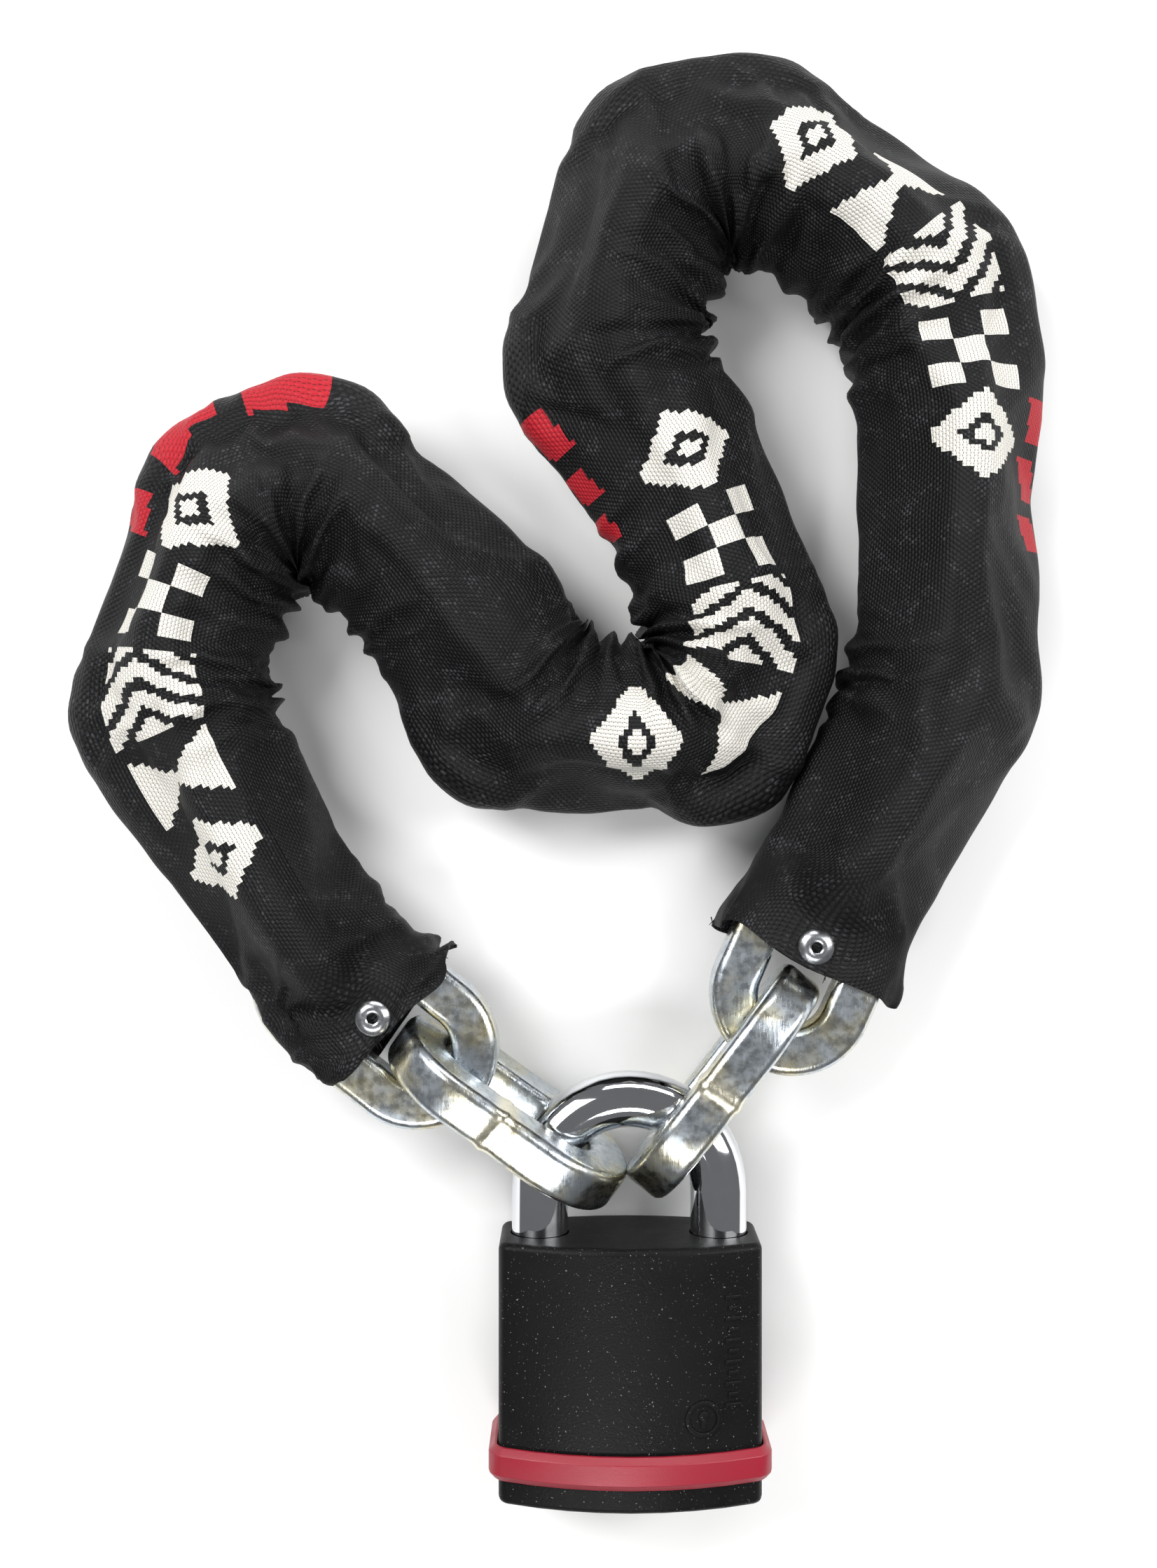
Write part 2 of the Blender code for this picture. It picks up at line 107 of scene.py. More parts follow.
def add_node(tree: NodeTree, kind: str, inputs: dict | None = None,
             **settings: object) -> Node:
    """Add one node with its settings, values and links.

    Args:
        tree: the material's node tree.
        kind: the node's type name, without its common beginning.
        inputs: socket name or number to a value, an sRGB hex code, the socket that
            feeds it, or the node whose first output does.
        settings: the node's own properties.

    Returns:
        The new node.
    """
    node = tree.nodes.new("ShaderNode" + kind)
    for name, value in settings.items():
        setattr(node, name, value)
    for key, value in (inputs or {}).items():
        if isinstance(value, Node):
            value = value.outputs[0]
        if isinstance(value, NodeSocket):
            tree.links.new(value, node.inputs[key])
        elif isinstance(value, str) and value.startswith("#"):
            node.inputs[key].default_value = linear(value)
        else:
            node.inputs[key].default_value = value
    return node


Adder = Callable[..., Node]


class Finish:
    """A named surface finish that makes its material once."""

    name: str = "finish"

    def material(self) -> Material:
        """Return the finish's material, made on first use."""
        found = bpy.data.materials.get(self.name)
        if found is None:
            found = bpy.data.materials.new(self.name)
            found.use_nodes = True
            found.node_tree.nodes.clear()
            add = partial(add_node, found.node_tree)
            add("OutputMaterial", {"Surface": self.build(add)})
        return found

    def build(self, add: Adder) -> Node:
        """Build the shader of the finish."""
        raise NotImplementedError

    def grain(self, add: Adder, size_mm: float, detail: float = 4.0,
              stretch: tuple[float, float, float] = (1, 1, 1)) -> Node:
        """Noise on Object coordinates whose features are size_mm across."""
        place = add("TexCoord")
        scale = add("Mapping", {"Vector": place.outputs["Object"], "Scale": stretch})
        return add("TexNoise", {"Vector": scale, "Scale": 1000.0 / size_mm, "Detail": detail,
                                "Roughness": 0.6})


@dataclass(frozen=True)
class ZincPlate(Finish):
    """Electroplated zinc with a clear passivate, handled and rubbed.

    It gives a pale grey metal that drifts between straw and blue, with soft blotches,
    fine draw lines and small rubbed scratches.
    """

    name: str = "zinc_plate_clear_passivate"
    straw: str = "#dccf9e"
    blue: str = "#c5ccd2"
    dull: str = "#79828a"
    weld: str = "#efe8cf"

    def build(self, add: Adder) -> Node:
        """Build the zinc shader."""
        blotch = self.grain(add, 13.0, 3.0)
        spots = self.grain(add, 2.2, 6.0)
        lines = self.grain(add, 0.6, 3.0, (1.0, 0.12, 0.12))
        drift = add("MapRange", {"Value": blotch, "From Min": 0.45, "From Max": 0.66,
                                 "To Min": 0.0, "To Max": 0.7})
        tone = add("Mix", {0: drift, 6: self.blue, 7: self.straw}, data_type="RGBA")
        stain = add("MapRange", {"Value": spots, "From Min": 0.48, "From Max": 0.72, "To Min": 0.0,
                                 "To Max": 0.45})
        base = add("Mix", {0: stain, 6: tone.outputs[2], 7: self.dull}, data_type="RGBA")
        weld = add("Attribute", attribute_name="weld")
        base = add("Mix", {0: weld.outputs["Fac"], 6: base.outputs[2], 7: self.weld},
                   data_type="RGBA")
        rough = add("MapRange", {"Value": spots, "From Min": 0.3, "From Max": 0.75, "To Min": 0.16,
                                 "To Max": 0.42})
        dent = add("Bump", {"Strength": 0.4, "Distance": 0.0006, "Height": blotch})
        fine = add("Bump", {"Strength": 0.25, "Distance": 0.0002, "Height": lines, "Normal": dent})
        return add("BsdfPrincipled", {"Base Color": base.outputs[2], "Roughness": rough,
                                      "Metallic": 1.0, "Normal": fine})


@dataclass(frozen=True)
class PlainMetal(Finish):
    """Turned, drawn or plated metal with one colour, fine marks and uneven gloss.

    It gives an even metal whose reflections break up slightly with handling marks.
    """

    name: str = "turned_steel"
    colour: str = "#b9bbbd"
    shadow: str = "#9a9c9e"
    gloss: tuple[float, float] = (0.22, 0.36)
    mark_mm: float = 1.2
    bump: float = 0.12

    def build(self, add: Adder) -> Node:
        """Build the metal shader."""
        marks = self.grain(add, self.mark_mm, 5.0)
        cloud = self.grain(add, 9.0, 2.0)
        mix = add("Mix", {0: cloud, 6: self.colour, 7: self.shadow}, data_type="RGBA")
        rough = add("MapRange", {"Value": marks, "From Min": 0.3, "From Max": 0.75,
                                 "To Min": self.gloss[0], "To Max": self.gloss[1]})
        bump = add("Bump", {"Strength": self.bump, "Distance": 0.0001, "Height": marks})
        return add("BsdfPrincipled", {"Base Color": mix.outputs[2], "Roughness": rough,
                                      "Metallic": 1.0, "Normal": bump})


@dataclass(frozen=True)
class TexturedCoat(Finish):
    """Black powder coat over steel, with a fine orange-peel texture and painted glints.

    It gives a deep satin black that breaks light into tiny grains, with pale specks painted as
    glints.
    """

    name: str = "black_powder_coat"
    colour: str = "#0b0b0c"
    worn: str = "#131314"
    # Painted glint: a pale speck colour that stands in for highlights on the coat.
    painted_speck_colour: str = "#77746c"
    grain_mm: float = 0.5

    def build(self, add: Adder) -> Node:
        """Build the coat shader."""
        peel = self.grain(add, self.grain_mm, 2.0)
        patch = self.grain(add, 18.0, 4.0)
        painted_speck_noise = self.grain(add, 0.42, 0.0)
        base = add("Mix", {0: patch, 6: self.colour, 7: self.worn}, data_type="RGBA")
        # Painted glints: scattered pale specks in the base colour stand in for highlights.
        painted_speck_mask = add("MapRange", {"Value": painted_speck_noise, "From Min": 0.77, "From Max": 0.86})
        base = add("Mix", {0: painted_speck_mask, 6: base.outputs[2], 7: self.painted_speck_colour}, data_type="RGBA")
        rough = add("MapRange", {"Value": patch, "From Min": 0.3, "From Max": 0.7, "To Min": 0.38,
                                 "To Max": 0.5})
        bump = add("Bump", {"Strength": 0.6, "Distance": 0.00013, "Height": peel})
        return add("BsdfPrincipled", {"Base Color": base.outputs[2], "Roughness": rough,
                                      "Specular IOR Level": 0.13, "Normal": bump})


@dataclass(frozen=True)
class MouldedBumper(Finish):
    """Injection-moulded red elastomer with a light mould texture.

    It gives a deep even red with a soft sheen and faint flow marks.
    """

    name: str = "moulded_red_elastomer"
    colour: str = "#9c1c30"
    deep: str = "#7f1424"

    def build(self, add: Adder) -> Node:
        """Build the elastomer shader."""
        flow = self.grain(add, 12.0, 4.0, (0.3, 1.0, 1.0))
        mould = self.grain(add, 0.5, 2.0)
        mix = add("Mix", {0: flow, 6: self.colour, 7: self.deep}, data_type="RGBA")
        rough = add("MapRange", {"Value": flow, "From Min": 0.3, "From Max": 0.7, "To Min": 0.34,
                                 "To Max": 0.5})
        bump = add("Bump", {"Strength": 0.2, "Distance": 0.0001, "Height": mould})
        return add("BsdfPrincipled", {"Base Color": mix.outputs[2], "Roughness": rough,
                                      "Normal": bump})


@dataclass(frozen=True)
class WovenWebbing(Finish):
    """Woven black polyester with motifs woven in off-white and red.

    It gives brick-laid rows of small thread crowns, scattered ones with painted glints, painted
    shade in the gaps between them, and pale motifs pierced by pinholes in painted shade, whose
    edges step from thread to thread.
    The threads are drawn two thirds coarser than real so that they show at arm's length.
    """

    name: str = "woven_polyester"
    thread_mm: float = 0.85
    crown_mm: float = 1.25
    # Painted shade: the colour of the weave's gaps between thread crowns.
    gap: str = "#060607"
    crown: str = "#151517"
    # Painted highlight: a pale grey put on scattered thread crowns as glints.
    painted_sparkle_colour: str = "#3b3c40"
    white: str = "#dedbd3"
    # Painted shade: the pale thread's colour in the pinholes between its crowns.
    painted_hole_shade: str = "#57544e"
    red: str = "#b0202c"
    # Painted shade: the red thread's colour in the gaps between its crowns.
    painted_shade_red: str = "#5c1016"

    def build(self, add: Adder) -> Node:
        """Build the cloth shader from the cloth's own UV map, which is in metres."""
        uv = add("UVMap", uv_map="cloth")
        size = (1000 / self.thread_mm, 1000 / self.crown_mm, 1.0)
        count = add("VectorMath", {0: uv, 1: size}, operation="MULTIPLY")
        axes = add("SeparateXYZ", {0: count})
        column = add("Math", {0: axes.outputs[0]}, operation="FLOOR")
        brick = add("Math", {0: column, 1: 0.5, 2: axes.outputs[1]}, operation="MULTIPLY_ADD")
        waves = []
        for place in (axes.outputs[0], brick):
            angle = add("Math", {0: place, 1: math.pi}, operation="MULTIPLY")
            wave = add("Math", {0: angle}, operation="SINE")
            waves.append(add("Math", {0: wave}, operation="ABSOLUTE"))
        height = add("Math", {0: waves[0], 1: waves[1]}, operation="MULTIPLY")
        top = add("Math", {0: waves[0], 1: waves[1]}, operation="MAXIMUM")
        # Painted shade: the low places between thread crowns take the darker gap colour.
        lit = add("MapRange", {"Value": height, "From Min": 0.25, "From Max": 0.7})
        weave_with_painted_shade = add("Mix", {0: lit, 6: self.gap, 7: self.crown}, data_type="RGBA")
        # Painted highlights: crowns picked by noise take a pale colour standing in for glints.
        spark = self.grain(add, 1.1, 1.0)
        patch = self.grain(add, 6.0, 2.0)
        chance = add("Math", {0: spark, 1: patch}, operation="MULTIPLY")
        painted_sparkle_mask = add("MapRange", {"Value": chance, "From Min": 0.29, "From Max": 0.42})
        share = add("Math", {0: painted_sparkle_mask, 1: lit}, operation="MULTIPLY")
        colour = add("Mix", {0: share, 6: weave_with_painted_shade.outputs[2], 7: self.painted_sparkle_colour}, data_type="RGBA")
        # Painted shade: in the motifs, the pinholes between crowns take darker copies of the pale
        # and red thread colours.
        solid = add("MapRange", {"Value": top, "From Min": 0.42, "From Max": 0.62})
        motif = add("Attribute", attribute_name="motif")
        masks = add("SeparateColor", {0: motif})
        for low, high, mask in ((self.painted_hole_shade, self.white, masks.outputs[0]),
                                (self.painted_shade_red, self.red, masks.outputs[1])):
            thread = add("Mix", {0: solid, 6: low, 7: high}, data_type="RGBA")
            colour = add("Mix", {0: mask, 6: colour.outputs[2], 7: thread.outputs[2]},
                         data_type="RGBA")
        bump = add("Bump", {"Strength": 0.8, "Distance": 0.00028, "Height": height})
        return add("BsdfPrincipled", {"Base Color": colour.outputs[2], "Roughness": 0.5,
                                      "Specular IOR Level": 0.2, "Normal": bump})


@dataclass(frozen=True)
class PaleBoard(Finish):
    """Matt pale studio board with a very slight tooth."""

    name: str = "pale_studio_board"
    colour: str = "#f4f4f3"

    def build(self, add: Adder) -> Node:
        """Build the board shader."""
        tooth = self.grain(add, 3.0, 2.0)
        rough = add("MapRange", {"Value": tooth, "From Min": 0.3, "From Max": 0.7, "To Min": 0.8,
                                 "To Max": 0.9})
        return add("BsdfPrincipled", {"Base Color": self.colour, "Roughness": rough})


ZINC = ZincPlate()
CHROME = PlainMetal("polished_chrome_plate", "#e3e4e6", "#d2d4d8", (0.04, 0.09), 6.0, 0.02)
STEEL = PlainMetal("turned_steel", "#b4b6b8", "#97999b", (0.24, 0.4), 1.0, 0.12)
BRASS = PlainMetal("turned_brass", "#c9a45c", "#a98442", (0.22, 0.36), 1.2, 0.10)
ALUMINIUM = PlainMetal("drawn_aluminium", "#c9cbce", "#a5a7aa", (0.2, 0.34), 0.9, 0.15)
COAT = TexturedCoat()
BUMPER = MouldedBumper()
WEBBING = WovenWebbing()
BOARD = PaleBoard()


# --- shared helpers
def pull(source: bpy.types.bpy_prop_collection, key: str, width: int = 1,
         kind: type = np.float32) -> np.ndarray:
    """Read one property of every element into an array, a row for each."""
    values = np.zeros(len(source) * width, kind)
    source.foreach_get(key, values)
    return values.reshape(-1, width) if width > 1 else values


def take_mesh(name: str, work: BMesh) -> Mesh:
    """Turn a bmesh into a mesh and free it."""
    mesh = bpy.data.meshes.new(name)
    work.to_mesh(mesh)
    work.free()
    return mesh


def link_object(name: str, data: bpy.types.ID) -> Object:
    """Put a mesh, light or camera in the scene as an object at the origin."""
    item = bpy.data.objects.new(name, data)
    bpy.context.scene.collection.objects.link(item)
    return item


def from_bmesh(name: str, work: BMesh, finish: Finish) -> Object:
    """Close a bmesh into a smooth-shaded object with one finish.

    Args:
        name: the piece's name.
        work: the finished bmesh, which is freed.
        finish: the piece's finish.

    Returns:
        The new object.
    """
    bmesh.ops.remove_doubles(work, verts=work.verts, dist=1e-6)
    bmesh.ops.recalc_face_normals(work, faces=work.faces)
    mesh = take_mesh(name, work)
    mesh.shade_smooth()
    mesh.materials.append(finish.material())
    return link_object(name, mesh)


def dress(node: str, finish: Finish, bevel_mm: float = 0.0) -> None:
    """Give a CAD node its finish, smooth shading and softened edges.

    Args:
        node: the CAD node's name.
        finish: its finish.
        bevel_mm: width of the edge rounding, or zero for none.
    """
    item = frame["nodes"][node]
    mesh = item.data
    mesh.materials.clear()
    mesh.materials.append(finish.material())
    if "custom_normal" in mesh.attributes:
        mesh.attributes.remove(mesh.attributes["custom_normal"])
    mesh.shade_smooth()
    weld = item.modifiers.new("weld", "WELD")
    weld.merge_threshold = 2e-6
    if bevel_mm:
        bevel = item.modifiers.new("round", "BEVEL")
        bevel.width = bevel_mm * MM
        bevel.segments = 2
        bevel.limit_method = "ANGLE"
        bevel.angle_limit = math.radians(32)
    weighted = item.modifiers.new("shade", "WEIGHTED_NORMAL")
    weighted.keep_sharp = True


def joint_place(name: str) -> Vector:
    """Position of a joint's axis in the row frame."""
    return next(Vector(j["pos_m"]) for j in frame["joints"] if j["name"] == name)


class Lie(Enum):
    """How a link lies: standing on edge or flat."""

    UPRIGHT = 0
    FLAT = 1


# --- chain
@dataclass
class Chain:
    """The twenty-one welded links and the places where they pivot."""

    count: int = 21
    bar: float = 11.0 * MM
    corner: float = 2.3 * MM
    rolls: tuple[tuple[int, float], ...] = ((1, -10.0), (2, 0.0), (20, 0.0), (21, 4.0))
    window: float = 16.0 * MM
    inner: float = 41.0 * MM
    pivots: list[Vector] = field(default_factory=list)

    def __post_init__(self) -> None:
        """Read the pivots between neighbouring links from the joints."""
        self.pivots = [joint_place(f"link_{k:02d}_swing") for k in range(2, self.count + 1)]

    def centre(self, number: int) -> Vector:
        """Centre of a link, from its CAD box."""
        low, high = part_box(f"link_{number:02d}")
        return (low + high) / 2

    def heading(self, number: int) -> Vector:
        """Direction along a link, away from the chain's left end."""
        centre = self.centre(number)
        way = self.pivots[0] - centre if number == 1 else centre - self.pivots[number - 2]
        return Vector((way.x, way.y, 0)).normalized()

    def bare_link(self, number: int, roll: float) -> Object:
        """Build one bare link with its weld and forged unevenness.

        Args:
            number: the link's number.
            roll: turn about the link's own length, in degrees.

        Returns:
            The link's object.
        """
        lie = Lie.UPRIGHT if number % 2 else Lie.FLAT
        work = bmesh.new()
        ring = bmesh.ops.create_circle(work, segments=4, radius=self.bar / math.sqrt(2),
                                       matrix=Matrix.Rotation(math.radians(45), 4, "Z"))
        bmesh.ops.bevel(work, geom=ring["verts"], offset=self.corner, segments=5,
                        profile=0.5, affect="VERTICES", material=-1)
        for edge in [e for e in work.edges if e.calc_length() > 3 * MM]:
            bmesh.ops.subdivide_edges(work, edges=[edge], cuts=3)
        bend, straight = (self.window + self.bar) / 2, (self.inner - self.window) / 2
        bmesh.ops.rotate(work, verts=work.verts, cent=(0, 0, 0),
                         matrix=Matrix.Rotation(math.radians(90), 3, "Y"))
        bmesh.ops.translate(work, verts=work.verts, vec=(-straight, bend, 0))
        self.sweep(work, straight)
        self.forge(work, number)
        bmesh.ops.transform(work, matrix=self.stand(number, lie, roll), verts=work.verts)
        piece = from_bmesh(f"bare_link_{number:02d}", work, ZINC)
        piece.modifiers.new("flat_faces", "WEIGHTED_NORMAL")
        return piece

    def sweep(self, work: BMesh, straight: float) -> None:
        """Carry the bar section once round the link: leg, bend, leg, bend."""
        steps, turns = 26, 28
        edges = list(work.edges)
        for side in (1, -1):
            for _ in range(steps):
                made = bmesh.ops.extrude_edge_only(work, edges=edges)["geom"]
                edges = [g for g in made if isinstance(g, BMEdge)]
                verts = [g for g in made if isinstance(g, BMVert)]
                bmesh.ops.translate(work, verts=verts, vec=(side * 2 * straight / steps, 0, 0))
            verts = list({v for e in edges for v in e.verts})
            made = bmesh.ops.spin(work, geom=verts + edges, cent=(side * straight, 0, 0),
                                  axis=(0, 0, -1), angle=math.pi, steps=turns)
            edges = [g for g in made["geom_last"] if isinstance(g, BMEdge)]
        bmesh.ops.remove_doubles(work, verts=work.verts, dist=5e-6)

    def forge(self, work: BMesh, number: int) -> None:
        """Add the weld's flash in one leg and a slight forged unevenness all over."""
        bmesh.ops.recalc_face_normals(work, faces=work.faces)
        weld = work.verts.layers.float.new("weld")
        for vert in work.verts:
            place = vert.co
            wave = noise.noise(place * 110 + Vector((number * 7.3, 0, 0)))
            push = 0.12 * MM * wave
            if place.y > 0:
                seam = place.x - 1.5 * MM + 0.8 * MM * wave
                rough = 0.5 + 0.9 * abs(noise.noise(place * 900))
                push += 0.55 * MM * math.exp(-(seam / (0.8 * MM)) ** 2) * rough
                push -= 0.14 * MM * math.exp(-((abs(seam) - 2.6 * MM) / (1.2 * MM)) ** 2)
                vert[weld] = 0.85 * math.exp(-(seam / (3.2 * MM)) ** 4)
            vert.co = place + vert.normal * push

    def stand(self, number: int, lie: Lie, roll: float) -> Matrix:
        """Placing matrix of a link built flat about the origin."""
        along = self.heading(number)
        side = Vector((-along.y, along.x, 0))
        up = Vector((0, 0, 1))
        across, normal = (up, -side) if lie is Lie.UPRIGHT else (side, up)
        turn = Matrix((along, across, normal)).transposed().to_4x4()
        return (Matrix.Translation(self.centre(number)) @ turn
                @ Matrix.Rotation(math.radians(roll), 4, "X"))

    def build(self) -> None:
        """Finish the hidden links and rebuild the four bare ones."""
        for number in range(3, self.count - 1):
            dress(f"link_{number:02d}", ZINC)
        for number, roll in self.rolls:
            piece = self.bare_link(number, roll)
            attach(piece, f"link_{number:02d}")
            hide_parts(f"link_{number:02d}")
            LOG.info("built %s with %d faces", piece.name, len(piece.data.polygons))


# --- sleeve
@dataclass
class Sleeve:
    """The woven tube: simulated over the links, then split at the joints."""

    chain: Chain
    radius: float = 20.3 * MM
    cell: float = 2.5 * MM
    around: int = 48
    cut_back: float = 5.2 * MM
    end_half: tuple[float, float] = (22.6 * MM, 25.2 * MM)
    end_height: float = 7.3 * MM
    wall: float = 0.7 * MM
    fray_length: tuple[float, float] = (0.5, 2.4)
    frames: int = 16
    smooth_window: float = 36 * MM
    ease: float = 1.03
    bend_slack: float = 0.6
    held_reach: float = 5 * MM
    floor_gap: float = 0.3 * MM
    fold_from: float = 0.88
    fold_range: float = 0.34
    blocks: tuple[tuple[float, float], ...] = ((57 * MM, 74), (276 * MM, 98), (478 * MM, 78))
    block_length: float = 107 * MM
    frill_depth: float = 1.9 * MM
    fold_pitch: float = 15 * MM
    fold_depth: float = 3.4 * MM

    def __post_init__(self) -> None:
        """Work out the centreline and the spacing of the cloth's rings."""
        line = np.array([[p.x, p.y] for p in self.chain.pivots])
        self.height = self.chain.pivots[0].z
        self.line = line
        self.path, self.run = self.smooth_path(line)
        self.tangent = np.gradient(self.path, self.run, axis=0)
        self.tangent /= np.linalg.norm(self.tangent, axis=1)[:, None]
        turn = np.unwrap(np.arctan2(self.tangent[:, 1], self.tangent[:, 0]))
        bend = np.abs(np.convolve(np.gradient(turn, self.run), np.ones(9) / 9, "same"))
        growth = self.ease + self.bend_slack * self.radius * bend
        self.cloth_run = np.r_[0, np.cumsum(np.diff(self.run) * (growth[1:] + growth[:-1]) / 2)]
        first = np.interp(self.cut_back, self.run, self.cloth_run)
        last = np.interp(self.run[-1] - self.cut_back, self.run, self.cloth_run)
        self.rows = int((last - first) / self.cell)
        self.cloth_v = np.linspace(first, last, self.rows)
        self.ring_run = np.interp(self.cloth_v, self.cloth_run, self.run)

    def smooth_path(self, line: np.ndarray) -> tuple[np.ndarray, np.ndarray]:
        """Round the corners of the chain's line.

        Args:
            line: the pivots in the plane.

        Returns:
            Points a millimetre apart, and the distance along them.
        """
        corner = np.r_[0, np.cumsum(np.linalg.norm(np.diff(line, axis=0), axis=1))]
        steps = np.arange(0, corner[-1], MM)
        path = np.c_[np.interp(steps, corner, line[:, 0]), np.interp(steps, corner, line[:, 1])]
        half = int(self.smooth_window / MM / 2)
        for _ in range(2):
            source = path.copy()
            for i in range(len(path)):
                k = min(half, i, len(path) - 1 - i)
                path[i] = source[i - k:i + k + 1].mean(0)
        return path, np.r_[0, np.cumsum(np.linalg.norm(np.diff(path, axis=0), axis=1))]

    def from_rivet(self, run: float) -> tuple[float, float]:
        """Distance inward of the nearer rivet, and the sleeve's half-width at that end."""
        half = self.line[1] - self.line[0]
        reach = float(np.linalg.norm(half)) / 2
        left, right = run - reach, self.run[-1] - reach - run
        return (left, self.end_half[0]) if left < right else (right, self.end_half[1])

    def frill(self, row: int, turns: np.ndarray | float) -> np.ndarray | float:
        """How far the ragged cut carries a point along the cloth, fading inward."""
        inward, _ = self.from_rivet(self.ring_run[row])
        fade = max(0.0, 1 - (inward + 7.3 * MM) / (17 * MM)) ** 2
        uneven = np.sin(2 * turns + 0.5) + 0.35 * np.sin(5 * turns)
        return self.frill_depth * fade * uneven

    def ring(self, row: int, turns: np.ndarray) -> np.ndarray:
        """Points of one ring of the laid tube.

        Args:
            row: ring number from the left end.
            turns: angle of each point round the ring, from the left edge over the top.

        Returns:
            Points in the row frame.
        """
        run = self.ring_run[row]
        centre = [np.interp(run, self.run, self.path[:, k]) for k in (0, 1)]
        way = np.array([np.interp(run, self.run, self.tangent[:, k]) for k in (0, 1)])
        way /= np.linalg.norm(way)
        inward, end_half = self.from_rivet(run)
        rise = smooth_step((inward - 4.8 * MM) / (11.7 * MM))
        blend = smooth_step((inward + 7.3 * MM) / (19.8 * MM))
        half = end_half + (self.radius - end_half) * blend
        tall = self.end_height + (self.radius - self.end_height) * rise
        power = 2 / (4 - 2 * rise)
        wide = np.sign(np.cos(turns)) * np.abs(np.cos(turns)) ** power * half
        high = np.sign(np.sin(turns)) * np.abs(np.sin(turns)) ** power * tall
        shift = self.frill(row, turns)
        return np.c_[centre[0] - way[1] * wide + way[0] * shift,
                     centre[1] + way[0] * wide + way[1] * shift, self.height + high]

    def clear_links(self, points: np.ndarray) -> np.ndarray:
        """Push points of the laid tube out to where they clear the chain."""
        best = np.full(len(points), 9.0)
        near = np.zeros((len(points), 3))
        for a, b in zip(self.line, self.line[1:]):
            along = b - a
            share = np.clip(((points[:, :2] - a) @ along) / (along @ along), 0, 1)
            foot = np.c_[a + share[:, None] * along, np.full(len(points), self.height)]
            gap = np.linalg.norm(points - foot, axis=1)
            closer = gap < best
            best[closer], near[closer] = gap[closer], foot[closer]
        limit = self.radius - 0.1 * MM
        inside = (self.ring_run > 34 * MM) & (self.ring_run < self.run[-1] - 34 * MM)
        move = np.repeat(inside, self.around + 1) & (best < limit)
        points[move] = near[move] + (points[move] - near[move]) / best[move][:, None] * limit
        points[:, 2] = np.maximum(points[:, 2], 0.4 * MM)
        return points

    def lay_tube(self) -> Object:
        """Make the tube from a grid rolled up along the route, with its flat rest shape."""
        work = bmesh.new()
        bmesh.ops.create_grid(work, x_segments=self.rows - 1, y_segments=self.around, size=1.0)
        turns = np.arange(self.around + 1) / self.around * 2 * math.pi
        laid = np.concatenate([self.ring(row, turns) for row in range(self.rows)])
        laid = self.clear_links(laid)
        layer = work.loops.layers.uv.new("cloth")
        straight = work.verts.layers.float_vector.new("straight")
        perimeter = 2 * math.pi * self.radius
        places = {}
        for vert in work.verts:
            row = round((vert.co.x + 1) / 2 * (self.rows - 1))
            column = round((vert.co.y + 1) / 2 * self.around)
            places[vert] = (row, column)
        for face in work.faces:
            for loop in face.loops:
                row, column = places[loop.vert]
                shift = self.frill(row, turns[column])
                loop[layer].uv = (column / self.around * perimeter, self.cloth_v[row] + shift)
        for vert, (row, column) in places.items():
            turn = turns[column % self.around]
            vert[straight] = (self.cloth_v[row] + self.frill(row, turn),
                              self.radius * math.cos(turn), self.radius * math.sin(turn))
            vert.co = laid[row * (self.around + 1) + column]
        bmesh.ops.remove_doubles(work, verts=work.verts, dist=1e-6)
        bmesh.ops.recalc_face_normals(work, faces=work.faces)
        return link_object("sleeve_cloth", take_mesh("sleeve_cloth", work))

    def simulate(self, tube: Object) -> None:
        """Let the cloth settle on the links, with the rivets holding both ends."""
        straight = pull(tube.data.attributes["straight"].data, "vector", 3)
        tube.shape_key_add(name="Basis")
        rest = tube.shape_key_add(name="Rest")
        rest.data.foreach_set("co", straight.ravel())
        rest.value = 0.0
        held = tube.vertex_groups.new(name="held")
        rivets = [self.chain.centre(n).xy for n in (2, self.chain.count - 1)]
        held.add([v.index for v in tube.data.vertices
                  if min((v.co.xy - r).length for r in rivets) < self.held_reach], 1.0, "REPLACE")
        props = self.colliders()
        cloth = tube.modifiers.new("cloth", "CLOTH")
        values = cloth.settings
        values.quality, values.mass, values.air_damping = 5, 0.25, 4
        values.tension_stiffness = values.compression_stiffness = 25
        values.shear_stiffness, values.bending_stiffness = 4, 3
        values.tension_damping = values.compression_damping = 8
        values.shear_damping, values.bending_damping = 6, 1
        values.rest_shape_key = rest
        values.vertex_group_mass = "held"
        values.effector_weights.gravity = 0.2
        cloth.collision_settings.distance_min = 0.5 * MM
        cloth.collision_settings.collision_quality = 2
        cloth.point_cache.frame_start, cloth.point_cache.frame_end = 1, self.frames
        for number in range(1, self.frames + 1):
            bpy.context.scene.frame_set(number)
        for prop in props:
            prop.hide_render = True
        self.settled(tube)
        bpy.context.scene.frame_set(1)
        for prop in props:
            bpy.data.objects.remove(prop)

    def colliders(self) -> list[Object]:
        """Copies of the links and a floor for the cloth to rest on."""
        props = []
        for number in range(2, self.chain.count):
            work = bmesh.new()
            work.from_mesh(frame["nodes"][f"link_{number:02d}"].data)
            bmesh.ops.remove_doubles(work, verts=work.verts, dist=2e-6)
            props.append(link_object(f"prop_{number}", take_mesh("prop", work)))
        work = bmesh.new()
        bmesh.ops.create_grid(work, x_segments=1, y_segments=1, size=0.5)
        props.append(link_object("prop_floor", take_mesh("prop_floor", work)))
        for prop in props:
            prop.modifiers.new("stop", "COLLISION")
            prop.collision.thickness_outer = 0.4 * MM
            prop.collision.cloth_friction = 3
        return props

